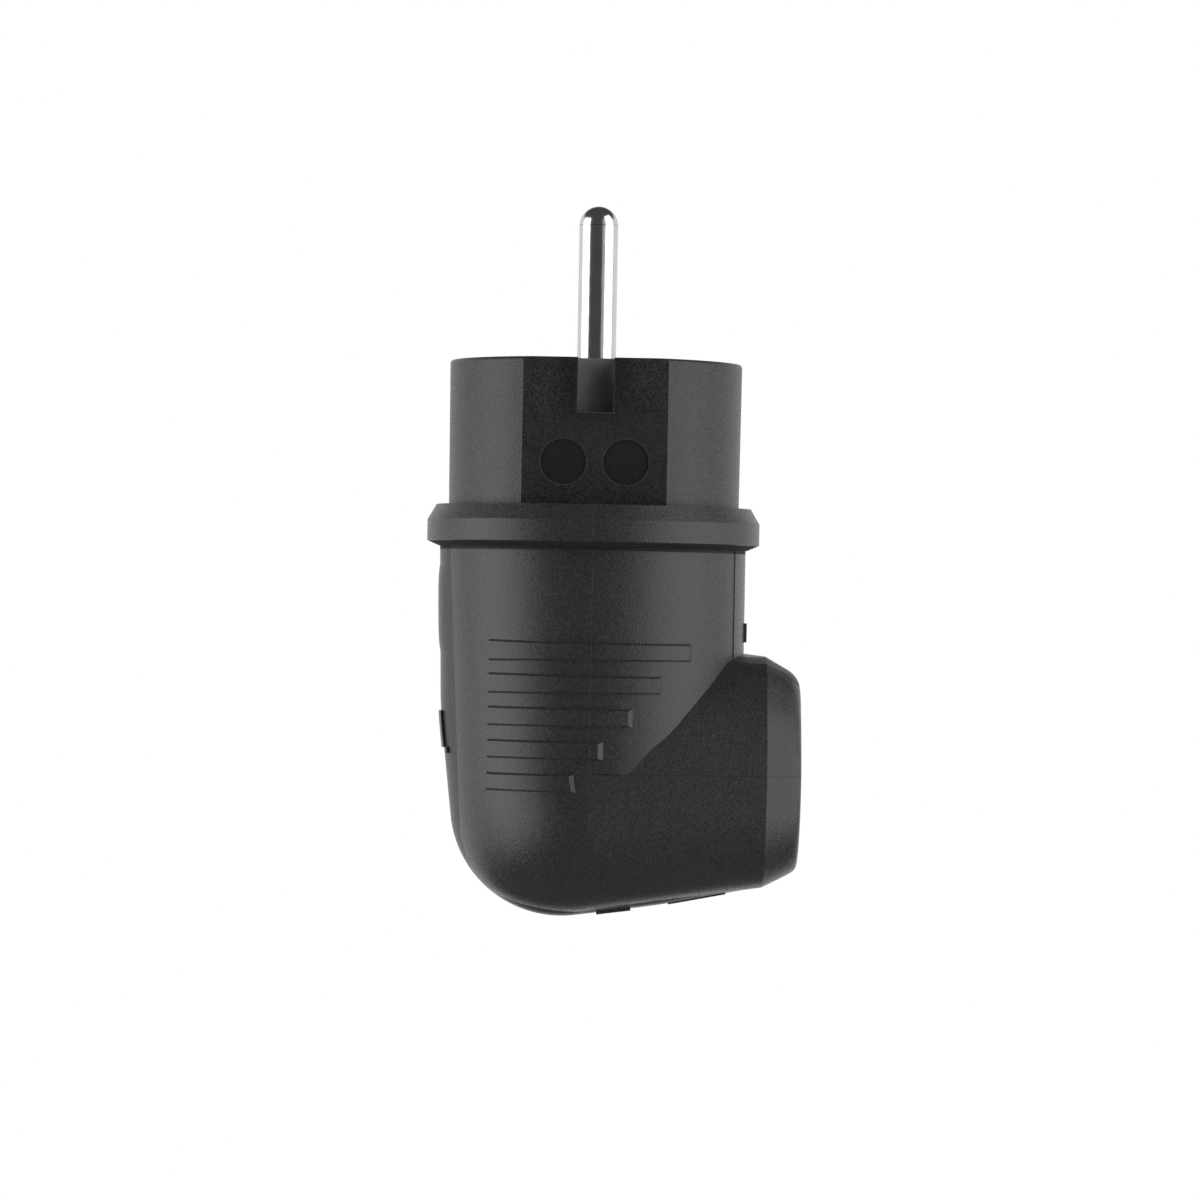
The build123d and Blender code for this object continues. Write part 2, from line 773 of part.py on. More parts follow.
# Cable clamp: arched bridge and two screws
with BuildPart() as clamp_bridge:
    with BuildSketch(Plane.YZ.offset(clamp_x - clamp_length / 2)):
        with Locations((0, outlet_z)):
            Rectangle(2 * clamp_half_span, clamp_ear_thick, align=(Align.CENTER, Align.MIN))
        with Locations((0, outlet_z)):
            Circle(clamp_hole_dia / 2 + clamp_arch_thick)
            Circle(clamp_hole_dia / 2, mode=Mode.SUBTRACT)
        with Locations((0, outlet_z)):
            Rectangle(
                2 * clamp_half_span,
                clamp_hole_dia + 2 * clamp_arch_thick,
                align=(Align.CENTER, Align.MAX),
                mode=Mode.SUBTRACT,
            )
    extrude(amount=clamp_length)
    with BuildSketch(Plane.XY.offset(outlet_z)):
        with Locations((clamp_x, clamp_screw_y), (clamp_x, -clamp_screw_y)):
            Circle(clamp_screw_dia / 2 + 2 * seat_gap)
    extrude(amount=clamp_ear_thick, mode=Mode.SUBTRACT)


def clamp_screw(side):
    spot = (clamp_x, side * clamp_screw_y, outlet_z + clamp_ear_thick)
    upwards = Plane(origin=spot, x_dir=(1, 0, 0), z_dir=(0, 0, 1))
    reach = outlet_z + clamp_ear_thick - clamp_screw_end - 1
    return screw_on(
        upwards, clamp_screw_dia, reach, clamp_screw_head_dia, clamp_screw_head_height
    )


with BuildPart() as clamp_screw_a:
    add(clamp_screw(-1))

with BuildPart() as clamp_screw_b:
    add(clamp_screw(1))

# Rubber seal in the cable outlet
with BuildPart() as cable_seal:
    seal_outer_x = outlet_end_x - seal_end_gap
    throat_x = seal_outer_x - seal_bore_length
    with BuildSketch(Plane.XZ):
        with BuildLine():
            Polyline(
                (seal_inner_x, outlet_z + seal_throat_dia / 2),
                (seal_inner_x, outlet_z + seal_dia / 2 - slip_gap),
                (seal_outer_x, outlet_z + seal_dia / 2 - slip_gap),
                (seal_outer_x, outlet_z + seal_bore_dia / 2),
                (throat_x, outlet_z + seal_bore_dia / 2),
                close=True,
            )
        make_face()
    revolve(axis=Axis((0, 0, outlet_z), (1, 0, 0)))

housing.part.label = "housing"
export_step(housing.part, "parts/housing.step")
pin_carrier.part.label = "pin_carrier"
export_step(pin_carrier.part, "parts/pin_carrier.step")
line_pin.part.label = "line_pin"
export_step(line_pin.part, "parts/line_pin.step")
neutral_pin.part.label = "neutral_pin"
export_step(neutral_pin.part, "parts/neutral_pin.step")
line_terminal_screw.part.label = "line_terminal_screw"
export_step(line_terminal_screw.part, "parts/line_terminal_screw.step")
neutral_terminal_screw.part.label = "neutral_terminal_screw"
export_step(neutral_terminal_screw.part, "parts/neutral_terminal_screw.step")
earth_strap.part.label = "earth_strap"
export_step(earth_strap.part, "parts/earth_strap.step")
earth_sleeve.part.label = "earth_sleeve"
export_step(earth_sleeve.part, "parts/earth_sleeve.step")
earth_washer.part.label = "earth_washer"
export_step(earth_washer.part, "parts/earth_washer.step")
earth_terminal_screw.part.label = "earth_terminal_screw"
export_step(earth_terminal_screw.part, "parts/earth_terminal_screw.step")
rear_plate.part.label = "rear_plate"
export_step(rear_plate.part, "parts/rear_plate.step")
plate_screw_a.part.label = "plate_screw_a"
export_step(plate_screw_a.part, "parts/plate_screw_a.step")
plate_screw_b.part.label = "plate_screw_b"
export_step(plate_screw_b.part, "parts/plate_screw_b.step")
center_screw.part.label = "center_screw"
export_step(center_screw.part, "parts/center_screw.step")
thread_bush.part.label = "thread_bush"
export_step(thread_bush.part, "parts/thread_bush.step")
sealing_ring.part.label = "sealing_ring"
export_step(sealing_ring.part, "parts/sealing_ring.step")
clamp_bridge.part.label = "clamp_bridge"
export_step(clamp_bridge.part, "parts/clamp_bridge.step")
clamp_screw_a.part.label = "clamp_screw_a"
export_step(clamp_screw_a.part, "parts/clamp_screw_a.step")
clamp_screw_b.part.label = "clamp_screw_b"
export_step(clamp_screw_b.part, "parts/clamp_screw_b.step")
cable_seal.part.label = "cable_seal"
export_step(cable_seal.part, "parts/cable_seal.step")
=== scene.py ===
import json
import math

import bpy
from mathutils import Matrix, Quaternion, Vector


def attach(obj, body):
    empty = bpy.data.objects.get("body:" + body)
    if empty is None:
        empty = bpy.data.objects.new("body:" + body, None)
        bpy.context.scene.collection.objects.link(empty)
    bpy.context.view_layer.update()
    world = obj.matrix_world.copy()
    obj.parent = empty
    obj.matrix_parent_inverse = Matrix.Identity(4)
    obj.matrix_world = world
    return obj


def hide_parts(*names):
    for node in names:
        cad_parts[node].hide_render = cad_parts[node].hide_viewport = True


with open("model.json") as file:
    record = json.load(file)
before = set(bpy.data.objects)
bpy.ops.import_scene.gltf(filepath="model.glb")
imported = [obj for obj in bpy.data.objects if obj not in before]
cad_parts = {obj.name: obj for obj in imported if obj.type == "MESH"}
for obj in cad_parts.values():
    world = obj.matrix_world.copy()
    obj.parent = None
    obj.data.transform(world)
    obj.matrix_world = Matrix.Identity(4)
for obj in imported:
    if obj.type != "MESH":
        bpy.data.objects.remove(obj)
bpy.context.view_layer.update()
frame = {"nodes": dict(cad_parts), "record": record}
plug = frame["nodes"]
scene = bpy.context.scene
MM = 0.001

# Housing, in millimetres

BARREL_R = 19.1
FORM_TOP = -20.7
COLLAR_CORNER_Z = -23.25
COLLAR_CORNER_HALF = 0.4
HEEL_REACH = 17.5
HEEL_DEPTH = 17.9
SOLE_Z = -66.5
SOLE_FADE = 4.0
FLANK_Y = 11.0
FLANK_FADE = 2.0
SEAM_DOWN_HALF = 0.02
SEAM_OUT_HALF = 0.03
OUTLET_Z = -51.1
OUTLET_ROOT_X = 17.0
OUTLET_SHOULDER_X = 21.9
OUTLET_END_X = 26.22
OUTLET_END_CROWN = 12.3
OUTLET_TOP_Z = -37.2
OUTLET_TOP_HALF = 0.5
OUTLET_TOP_SLOPE = 0.58
GRIP_COUNT = 5
GRIP_LEFT_X = -12.6
GRIP_FIRST_RIGHT_X = 12.35
GRIP_STEP_X = 3.55
GRIP_FIRST_Z = -36.16
GRIP_PITCH = 4.045
GRIP_HALF = 1.12
GRIP_LEAN = 0.625

# Front insert and pins, in millimetres

FLAT_Y = 15.9
PANEL_Z = -11.2
PANEL_HALF = 4.45
PANEL_LEFT_X = -8.25
DISC_X = 3.85
DISC_Z = -12.85
DISC_R = 2.8
DISC_HIGHLIGHT_HALF = 0.03
GROOVE_HALF = 2.2
GROOVE_FOOT_Z = -6.75
GROOVE_FLOOR_Y = 13.4
GROOVE_FLOOR_HALF = 0.3
GROOVE_HIGHLIGHT_HALF = 0.04
SHADE_X = 6.5
SHADE_LOW_Z = -9.0
SHADE_HIGH_Z = -5.0
PIN_RING_Z = 16.6
PIN_RING_HALF = 0.03

# Grain in craters per millimetre, its relief in millimetres, and the plastics' index of refraction

HOUSING_GRAIN = 4.4
HOUSING_RELIEF = 0.042
INSERT_GRAIN = 5.2
INSERT_RELIEF = 0.04
INNER_GRAIN = 6.0
INNER_RELIEF = 0.015
METAL_RELIEF = 0.003
MOULDED_IOR = 1.47
INNER_IOR = 1.5

# Housing skin, in millimetres and degrees

MERGE_REACH = 0.0005
SKIN_CREASE = 7.0
GRIP_WALL_REACH = 0.12
GRIP_LEFT_MARGIN = 0.1
GRIP_RIGHT_MARGIN = 1.0
GRIP_SPREAD_FIRST = 0.2
GRIP_SPREAD_STEP = 0.05
END_DEPTH = 1.5
END_INSET_TOP = 1.2
END_INSET_SIDE = 0.35
END_CLEAR_R = 9.9
END_STEPS = 14

# Raised plates, in millimetres and degrees

PLATE_CELLS = 24
PLATE_START = 90.0
PLATE_EDGE = 0.05
PLATE_EDGE_STEPS = 2
PLATE_CREASE = 35.0
SWELL_POWER = 4
SWELL_RIM = 0.01

# Studio, in metres, with its levels of light and the backdrop's edges as parts of a direction

SOFTBOX_REACH = 0.8
ROOM_LEVEL = 0.058
BACKDROP_LEVEL = 0.66
BACKDROP_SIDE = (0.1, 0.3)
BACKDROP_TOP = (0.36, 0.56)
FLOOR_Z = -0.64
FLOOR_R = 4.0
FLOOR_SIDES = 96
FLOOR_GLOW = 0.85
FLOOR_GREY = (0.8, 0.8, 0.8, 1.0)
WHITE = (1.0, 1.0, 1.0, 1.0)

# Camera, in millimetres and degrees, and its clipping in metres

CAMERA_PLACE = (0.99, -650, -29.8)
CAMERA_ROLL = -1.05
CAMERA_LENS = 154.9
CAMERA_SENSOR = 36.0
CAMERA_NEAR = 0.01
CAMERA_FAR = 20.0


# Shader maths

class Value:
    """A socket that takes part in sums and products."""

    def __init__(self, finish, socket):
        self.finish = finish
        self.socket = socket

    def math(self, operation, *others):
        values = dict(enumerate((self, *others)))
        return self.finish.node("ShaderNodeMath", {"operation": operation}, values)

    def __add__(self, other):
        return self.math("ADD", other)

    __radd__ = __add__

    def __sub__(self, other):
        return self.math("SUBTRACT", other)

    def __rsub__(self, other):
        return self.finish.node("ShaderNodeMath", {"operation": "SUBTRACT"}, {0: other, 1: self})

    def __mul__(self, other):
        return self.math("MULTIPLY", other)

    __rmul__ = __mul__

    def __abs__(self):
        return self.math("ABSOLUTE")

    def __pow__(self, other):
        return self.math("POWER", other)

    def most(self, other):
        return self.math("MAXIMUM", other)


class Finish:
    """A procedural finish whose node tree is written as expressions."""

    def __init__(self, owner):
        owner.use_nodes = True
        self.owner = owner
        self.tree = owner.node_tree
        self.tree.nodes.clear()

    def node(self, kind, settings=None, inputs=None, output=0):
        made = self.tree.nodes.new(kind)
        for key, setting in (settings or {}).items():
            setattr(made, key, setting)
        for key, value in (inputs or {}).items():
            if isinstance(value, Value):
                self.tree.links.new(value.socket, made.inputs[key])
            else:
                made.inputs[key].default_value = value
        return Value(self, made.outputs[output]) if len(made.outputs) else made

    def point(self):
        """The point on the piece, in millimetres."""
        metres = self.node("ShaderNodeTexCoord", output="Object")
        return self.node("ShaderNodeVectorMath", {"operation": "SCALE"}, {0: metres, "Scale": 1 / MM})

    def along(self, vector, axis):
        """The part of a vector along the axis X, Y or Z."""
        return self.node("ShaderNodeSeparateXYZ", {}, {0: vector}, axis)

    def rise(self, value, low, high):
        """0 below low, 1 above high, smooth between."""
        settings = {"interpolation_type": "SMOOTHSTEP"}
        return self.node("ShaderNodeMapRange", settings, {"Value": value, "From Min": low, "From Max": high})

    def line(self, value, centre, half, soft):
        """1 within half of the centre, falling to 0 over soft."""
        return 1 - self.rise(abs(value - centre), half, half + soft)

    def noise(self, point, scale, detail=3.0, rough=0.5):
        inputs = {"Vector": point, "Scale": scale, "Detail": detail, "Roughness": rough}
        return self.node("ShaderNodeTexNoise", {}, inputs)

    def pits(self, point, scale, output="Distance"):
        """Craters of about 1/scale; the output Color gives each its own colour."""
        return self.node("ShaderNodeTexVoronoi", {"feature": "F1"}, {"Vector": point, "Scale": scale}, output)

    def blend(self, share, first, second):
        """Colour from first to second as share goes from 0 to 1."""
        pair = {6: first, 7: second}
        colours = {key: tone if isinstance(tone, Value) else (*tone, 1.0) for key, tone in pair.items()}
        return self.node("ShaderNodeMix", {"data_type": "RGBA"}, {0: share, **colours}, 2)

    def relief(self, height, depth):
        """Normal of a surface with that height, from 0 to 1, over a depth in millimetres."""
        return self.node("ShaderNodeBump", {}, {"Height": height, "Distance": depth * MM, "Strength": 1.0})

    def close(self, kind, shader):
        self.node(kind, {}, {"Surface": shader})
        return self.owner

    def surface(self, inputs):
        return self.close("ShaderNodeOutputMaterial", self.node("ShaderNodeBsdfPrincipled", {}, inputs))


def eroded(finish, point, scale):
    """Spark-eroded mould grain: its height, and a random grey for each crater."""
    height = finish.noise(point, scale * 1.6, 1.0) + finish.pits(point, scale * 1.25) * 0.3
    grey = finish.pits(point, scale, "Color") * 1.0  # the Math node turns the crater's colour grey
    return height, grey


# Finishes

def housing_rubber():
    f = Finish(bpy.data.materials.new("housing_rubber"))
    point = f.point()
    x, y, z = (f.along(point, axis) for axis in "XYZ")
    grain, speck = eroded(f, point, HOUSING_GRAIN)
    cloud = f.noise(point, 0.11)

    flank = f.rise(abs(y), FLANK_Y, FLANK_Y + FLANK_FADE)
    seam_down = f.line(x, 0.0, SEAM_DOWN_HALF, 0.05) * flank * f.rise(z, OUTLET_Z - 0.1, OUTLET_Z + 0.1)
    seam_out = f.line(z, OUTLET_Z, SEAM_OUT_HALF, 0.06) * flank * f.rise(x, 0.0, 0.3)
    # Painted shadow: a dark band on the housing where the collar's underside meets the barrel; the band is
    # also rougher
    painted_collar_shadow = f.line(z, COLLAR_CORNER_Z, COLLAR_CORNER_HALF, 0.2)
    levelled = z + (x - OUTLET_SHOULDER_X).most(0.0) * OUTLET_TOP_SLOPE
    outlet_top = f.line(levelled, OUTLET_TOP_Z, OUTLET_TOP_HALF, 0.15)
    outlet_top = outlet_top * f.rise(x, OUTLET_ROOT_X, OUTLET_ROOT_X + 0.8)
    sole = 1 - f.rise(z, SOLE_Z, SOLE_Z + SOLE_FADE)
    calm = outlet_top.most(sole)

    tone = speck * 0.7 + cloud * 0.3
    colour = f.blend(tone, (0.0306, 0.0306, 0.0312), (0.0677, 0.0677, 0.0692))
    colour = f.blend(seam_down * 0.3, colour, (0.085, 0.085, 0.086))
    colour = f.blend(seam_out * 0.5, colour, (0.020, 0.020, 0.020))
    # Painted shadow under the collar
    colour = f.blend(painted_collar_shadow * 0.85, colour, (0.008, 0.008, 0.008))
    height = grain * (1 - calm * 0.75) + seam_down * 0.25 - seam_out * 0.7
    return f.surface({
        "Base Color": colour,
        "Roughness": 0.15 + speck * 0.20 + cloud * 0.04 + painted_collar_shadow * 0.5 + outlet_top * 0.2,
        "IOR": MOULDED_IOR,
        "Normal": f.relief(height, HOUSING_RELIEF),
    })


def insert_plastic():
    f = Finish(bpy.data.materials.new("insert_plastic"))
    point = f.point()
    x, y, z = (f.along(point, axis) for axis in "XYZ")
    coarse, speck = eroded(f, point, INSERT_GRAIN)
    cloud = f.noise(point, 0.13)

    flat = f.rise(abs(y), FLAT_Y - 0.3, FLAT_Y)
    panel = flat * f.line(z, PANEL_Z, PANEL_HALF, 0.05) * f.rise(x, PANEL_LEFT_X, PANEL_LEFT_X + 0.05)
    disc_x = abs(abs(x) - DISC_X)
    disc_z = z - DISC_Z
    disc_away = (disc_x * disc_x + disc_z * disc_z) ** 0.5
    disc = (1 - f.rise(disc_away, DISC_R - 0.05, DISC_R + 0.05)) * f.rise(abs(y), FLAT_Y - 0.9, FLAT_Y - 0.4)
    # Painted highlight: a thin light line round each disc, as on an edge that catches the light
    disc_edge_highlight = f.line(disc_away, DISC_R + 0.06, DISC_HIGHLIGHT_HALF, 0.06) * flat

    groove_x = f.line(x, 0.0, GROOVE_HALF, 0.05)
    groove_y = f.line(abs(y), GROOVE_FLOOR_Y, GROOVE_FLOOR_HALF, 0.1)
    # Painted light: the groove's floor gets a much lighter colour, as if light reached into the groove; the
    # floor is also smoother
    painted_lit_groove = groove_x * f.rise(z, GROOVE_FOOT_Z - 0.05, GROOVE_FOOT_Z) * groove_y
    # Painted highlights: thin light lines along the groove's sides and foot
    groove_side_highlight = f.line(abs(x), GROOVE_HALF + 0.06, GROOVE_HIGHLIGHT_HALF, 0.06)
    groove_side_highlight = groove_side_highlight * f.rise(z, GROOVE_FOOT_Z - 0.1, GROOVE_FOOT_Z - 0.05)
    groove_foot_highlight = f.line(z, GROOVE_FOOT_Z - 0.02, GROOVE_HIGHLIGHT_HALF, 0.06)
    groove_foot_highlight = groove_foot_highlight * f.line(x, 0.0, GROOVE_HALF + 0.1, 0.05)
    # Painted shade: the flats darken next to the groove, towards the front face, as in a recess
    painted_shade_beside_groove = 1 - f.rise(abs(x), GROOVE_HALF + 0.2, SHADE_X)
    painted_shade_beside_groove = painted_shade_beside_groove * f.rise(z, SHADE_LOW_Z, SHADE_HIGH_Z) * flat
    painted_edge_highlights = (groove_side_highlight.most(groove_foot_highlight) * f.rise(abs(y), FLAT_Y - 0.4, FLAT_Y)).most(disc_edge_highlight)
    smooth = (panel * 0.6).most(disc).most(painted_lit_groove * 0.7)

    tone = speck * (0.8 - smooth * 0.5) + cloud * 0.2 + smooth * 0.25
    colour = f.blend(tone, (0.0100, 0.0100, 0.0103), (0.0700, 0.0700, 0.0716))
    # Painted shade beside the groove
    colour = f.blend(painted_shade_beside_groove * 0.55, colour, (0.0100, 0.0100, 0.0103))
    # Painted light on the groove's floor
    colour = f.blend(painted_lit_groove * 0.85, colour, (0.360, 0.360, 0.365))
    colour = f.blend(disc * 0.8, colour, (0.0230, 0.0230, 0.0236))
    # Painted highlights on the edges of the discs and the groove
    colour = f.blend(painted_edge_highlights * 0.6, colour, (0.110, 0.110, 0.112))
    return f.surface({
        "Base Color": colour,
        "Roughness": 0.15 + speck * 0.22 + cloud * 0.04,
        "IOR": MOULDED_IOR,
        "Normal": f.relief(coarse * (1 - smooth * 0.8), INSERT_RELIEF),
    })


def plain_plastic(name, dark, light):
    f = Finish(bpy.data.materials.new(name))
    point = f.point()
    grain, speck = eroded(f, point, INNER_GRAIN)
    cloud = f.noise(point, 0.2)
    return f.surface({
        "Base Color": f.blend(speck * 0.4 + cloud * 0.6, dark, light),
        "Roughness": 0.5 + grain * 0.12,
        "IOR": INNER_IOR,
        "Normal": f.relief(grain, INNER_RELIEF),
    })


def metal(name, dark, light, rough, turned):
    """Plated or turned metal; turned is the number of fine lines per millimetre along x, y and z."""
    f = Finish(bpy.data.materials.new(name))
    point = f.point()
    lines = f.noise(f.node("ShaderNodeMapping", {}, {"Vector": point, "Scale": turned}), 1.0, rough=0.6)
    cloud = f.noise(point, 0.35)
    ring = f.line(f.along(point, "Z"), PIN_RING_Z, PIN_RING_HALF, 0.05)
    colour = f.blend(cloud * 0.6 + lines * 0.4, dark, light)
    return f.surface({
        "Base Color": f.blend(ring * 0.5, colour, (0.12, 0.12, 0.12)),
        "Metallic": 1.0,
        "Roughness": rough + lines * 0.14 + cloud * 0.06,
        "Normal": f.relief(lines, METAL_RELIEF),
    })


finishes = {
    "housing_rubber": housing_rubber(),
    "insert_plastic": insert_plastic(),
    "nickel": metal("nickel", (0.74, 0.73, 0.70), (0.92, 0.91, 0.88), 0.06, (3.5, 3.5, 0.5)),
    "zinc_steel": metal("zinc_steel", (0.52, 0.53, 0.54), (0.66, 0.67, 0.68), 0.22, (6.0, 6.0, 6.0)),
    "plate_plastic": plain_plastic("plate_plastic", (0.07, 0.07, 0.074), (0.09, 0.09, 0.095)),
    "seal_rubber": plain_plastic("seal_rubber", (0.024, 0.024, 0.024), (0.032, 0.032, 0.032)),
    "bush_brass": metal("bush_brass", (0.62, 0.47, 0.22), (0.74, 0.58, 0.32), 0.2, (1.0, 1.0, 12.0)),
}
for part in frame["record"]["subparts"]:
    shape = plug[part["node"]].data
    shape.materials.clear()
    shape.materials.append(finishes[part["material_slot"]])


# Housing skin: a copy of the moulding on which the walls of the grip bars run closer to parallel
# and the rim of the outlet's end is rounder

def barrel_radius(x, z):
    """Distance of the barrel's surface from its axis, at x and z."""
    sunk = (BARREL_R - HEEL_REACH) * (FORM_TOP - z) / (FORM_TOP - OUTLET_Z) if x < 0 else 0.0
    below = max(OUTLET_Z - z, 0.0) / HEEL_DEPTH
    share = min(abs(x) / (BARREL_R - sunk), 1.0)
    return math.hypot(x, BARREL_R * math.sqrt((1 - share**2) * (1 - below**2)))


def straight_bars(vertex):
    """Moves a point of a bar's wall up or down, so that the wall spreads less towards its left end."""
    x, y, z = vertex.co / MM
    level = round((GRIP_FIRST_Z - z) / GRIP_PITCH)
    right_x = GRIP_FIRST_RIGHT_X - GRIP_STEP_X * level
    away = z - GRIP_FIRST_Z + GRIP_PITCH * level
    wall = GRIP_HALF + GRIP_LEAN * (BARREL_R - math.hypot(x, y))
    on_bar = 0 <= level < GRIP_COUNT and GRIP_LEFT_X - GRIP_LEFT_MARGIN < x < right_x + GRIP_RIGHT_MARGIN
    if not on_bar or abs(abs(away) - wall) > GRIP_WALL_REACH:
        return
    spread = GRIP_LEAN * (BARREL_R - barrel_radius(x, z))
    along = min(max((right_x - x) / (right_x - GRIP_LEFT_X), 0.0), 1.0)
    wanted = (GRIP_SPREAD_FIRST - GRIP_SPREAD_STEP * level) * along
    vertex.co.z -= math.copysign(max(spread - wanted, 0.0), away) * MM


def round_end(vertex):
    """Draws a point near the outlet's end towards the outlet's axis, most of all at the top."""
    x, y, z = vertex.co / MM
    depth = (OUTLET_END_X - x) / END_DEPTH
    out = math.hypot(y, z - OUTLET_Z)
    if depth >= 1 or out < END_CLEAR_R:
        return
    top = min(max(z - OUTLET_Z, 0.0) / OUTLET_END_CROWN, 1.0)
    reach = END_INSET_SIDE + (END_INSET_TOP - END_INSET_SIDE) * top
    inset = reach * (1 - math.sqrt(1 - (1 - max(depth, 0.0)) ** 2)) / out
    vertex.co.y -= inset * y * MM
    vertex.co.z -= inset * (z - OUTLET_Z) * MM


bpy.ops.object.select_all(action="DESELECT")
skin = bpy.data.objects.new("housing_skin", plug["housing"].data.copy())
scene.collection.objects.link(skin)
bpy.context.view_layer.objects.active = skin
skin.select_set(True)
bpy.ops.object.mode_set(mode="EDIT")
bpy.ops.mesh.select_all(action="SELECT")
bpy.ops.mesh.remove_doubles(threshold=MERGE_REACH * MM)
bpy.ops.mesh.customdata_custom_splitnormals_clear()
for step in range(END_STEPS):
    depth = END_DEPTH * (1 - math.sin(math.pi / 2 * step / END_STEPS))
    bpy.ops.mesh.select_all(action="SELECT")
    bpy.ops.mesh.bisect(plane_co=((OUTLET_END_X - depth) * MM, 0.0, 0.0), plane_no=(1.0, 0.0, 0.0))
bpy.ops.object.mode_set(mode="OBJECT")
for vertex in skin.data.vertices:
    straight_bars(vertex)
    round_end(vertex)
bpy.ops.object.shade_smooth_by_angle(angle=math.radians(SKIN_CREASE))
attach(skin, "root")
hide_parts("housing")


# Raised blank plates of the moulding, laid onto the housing's back, inner side and underside

def press_onto_housing(made, axis):
    """Projects a piece onto the housing along the axis, 0 for x and 2 for z."""
    press = made.modifiers.new("press", "SHRINKWRAP")
    press.target = plug["housing"]
    press.wrap_method = "PROJECT"
    press.use_project_x = axis == 0
    press.use_project_z = axis == 2
    press.use_negative_direction = True
    press.use_positive_direction = True
    bpy.ops.object.modifier_apply(modifier="press")


def plate(name, facing, first, second, proud, soft=False):
    """A thin plate between two corners of a rectangle, pressed onto the housing along the facing axis."""
    axis = "xyz".index(facing[1])
    side = 1.0 if facing[0] == "+" else -1.0
    across, along = [k for k in range(3) if k != axis]
    bpy.ops.object.select_all(action="DESELECT")
    bpy.ops.mesh.primitive_grid_add(x_subdivisions=PLATE_CELLS, y_subdivisions=PLATE_CELLS, size=1.0)
    made = bpy.context.object
    made.name = name
    for vertex in made.data.vertices:
        u, v = vertex.co.x + 0.5, vertex.co.y + 0.5
        spot = [side * PLATE_START * MM] * 3
        spot[across] = (first[0] + (second[0] - first[0]) * u) * MM
        spot[along] = (first[1] + (second[1] - first[1]) * v) * MM
        vertex.co = spot
    press_onto_housing(made, axis)

    thick = made.modifiers.new("thick", "SOLIDIFY")
    thick.thickness = 2.0 * proud * MM
    thick.offset = 0.0
    if soft:
        swell = made.vertex_groups.new(name="swell")
        for vertex in made.data.vertices:
            u = abs(2 * (vertex.co[across] / MM - first[0]) / (second[0] - first[0]) - 1)
            v = abs(2 * (vertex.co[along] / MM - first[1]) / (second[1] - first[1]) - 1)
            swell.add([vertex.index], (1 - u**SWELL_POWER) * (1 - v**SWELL_POWER), "REPLACE")
        thick.vertex_group = "swell"
        thick.thickness_vertex_group = SWELL_RIM
    else:
        edge = made.modifiers.new("edge", "BEVEL")
        edge.width = PLATE_EDGE * MM
        edge.segments = PLATE_EDGE_STEPS
    for modifier in [held.name for held in made.modifiers]:
        bpy.ops.object.modifier_apply(modifier=modifier)
    bpy.ops.object.mode_set(mode="EDIT")
    bpy.ops.mesh.select_all(action="SELECT")
    bpy.ops.mesh.normals_make_consistent(inside=False)
    bpy.ops.object.mode_set(mode="OBJECT")
    bpy.ops.object.shade_smooth_by_angle(angle=math.radians(PLATE_CREASE))
    made.data.materials.append(finishes["housing_rubber"])
    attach(made, "root")


plate("back_swell", "-x", (-5.5, -25.6), (5.5, -36.6), proud=0.25, soft=True)
plate("back_plate", "-x", (-2.4, -44.0), (2.4, -48.6), proud=0.33)
plate("back_plate_foot", "-x", (-3.4, -48.5), (-2.6, -49.3), proud=0.3)
plate("inner_plate", "+x", (-1.8, -32.4), (1.8, -34.8), proud=0.34)
plate("under_plate", "-z", (1.2, -1.5), (5.5, 1.5), proud=0.3)
plate("under_plate_long", "-z", (10.2, -1.0), (17.4, 1.0), proud=0.16)


# Studio: tall softboxes on both sides, a dark front and a white backdrop

def softbox(name, turn, drop, width, height, radiance, roll=0.0):
    """A lamp that faces the plug from turn degrees to the right of the camera, drop metres down."""
    lamp = bpy.data.lights.new(name, "AREA")
    lamp.shape = "RECTANGLE"
    lamp.size = width
    lamp.size_y = height
    lamp.energy = radiance * math.pi * width * height
    stand = bpy.data.objects.new(name, lamp)
    scene.collection.objects.link(stand)
    away = Vector((math.sin(math.radians(turn)), -math.cos(math.radians(turn)), 0.0))
    stand.location = Vector((0.0, 0.0, -drop)) + away * SOFTBOX_REACH
    leaning = Quaternion(away, math.radians(roll))
    stand.rotation_euler = (leaning @ away.to_track_quat("Z", "Y")).to_euler()


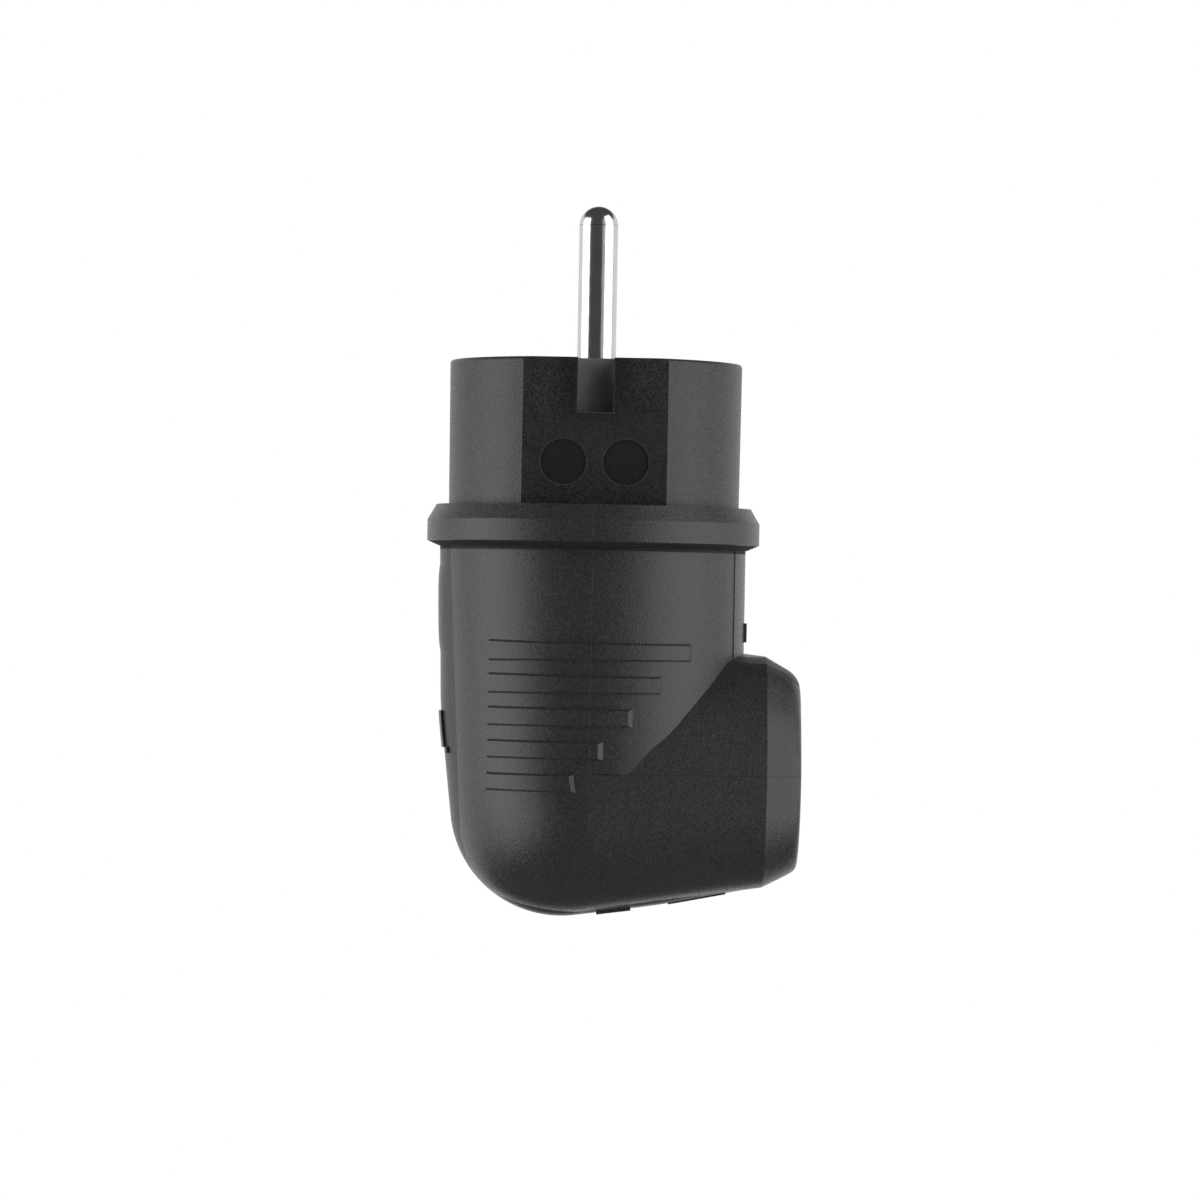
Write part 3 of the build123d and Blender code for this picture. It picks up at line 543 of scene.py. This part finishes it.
softbox("softbox_left", -77.3, drop=0.12, width=0.74, height=1.45, radiance=2.1, roll=4.0)
softbox("softbox_right", 69.5, drop=0.03, width=0.86, height=2.1, radiance=1.68)
softbox("softbox_right_edge", 33.0, drop=0.03, width=0.26, height=1.2, radiance=0.32)

studio = Finish(bpy.data.worlds.new("studio"))
scene.world = studio.owner
way = studio.node("ShaderNodeTexCoord")
behind = studio.rise(studio.along(way, "Y"), *BACKDROP_SIDE)
backdrop = behind * (1 - studio.rise(abs(studio.along(way, "Z")), *BACKDROP_TOP))
seen = studio.node("ShaderNodeLightPath", output="Is Camera Ray")
level = seen.most(ROOM_LEVEL + BACKDROP_LEVEL * backdrop)
room = studio.node("ShaderNodeBackground", {}, {"Color": WHITE, "Strength": level})
studio.close("ShaderNodeOutputWorld", room)

# Pale floor that only the camera sees, so that it throws no light back onto the plug

bpy.ops.object.select_all(action="DESELECT")
bpy.ops.mesh.primitive_circle_add(
    vertices=FLOOR_SIDES, radius=FLOOR_R, fill_type="NGON", location=(0, 0, FLOOR_Z)
)
floor = bpy.context.object
floor.name = "studio_floor"
ground = Finish(bpy.data.materials.new("pale_floor"))
viewed = ground.node("ShaderNodeLightPath", output="Is Camera Ray")
clear = ground.node("ShaderNodeBsdfTransparent")
lit = ground.node("ShaderNodeBsdfDiffuse", {}, {"Color": FLOOR_GREY})
glow = ground.node("ShaderNodeEmission", {}, {"Color": WHITE, "Strength": FLOOR_GLOW})
pale = ground.node("ShaderNodeAddShader", {}, {0: lit, 1: glow})
cover = ground.node("ShaderNodeMixShader", {}, {0: viewed, 1: clear, 2: pale})
floor.data.materials.append(ground.close("ShaderNodeOutputMaterial", cover))

# Camera at the photograph's place, rolled by about a degree

lens = bpy.data.cameras.new("view")
lens.sensor_width = CAMERA_SENSOR
lens.lens = CAMERA_LENS
camera = bpy.data.objects.new("view", lens)
scene.collection.objects.link(camera)
camera.location = Vector(CAMERA_PLACE) * MM
camera.rotation_euler = (math.radians(90.0), math.radians(CAMERA_ROLL), 0.0)
lens.clip_start = CAMERA_NEAR
lens.clip_end = CAMERA_FAR
scene.camera = camera
scene.view_settings.view_transform = "Standard"
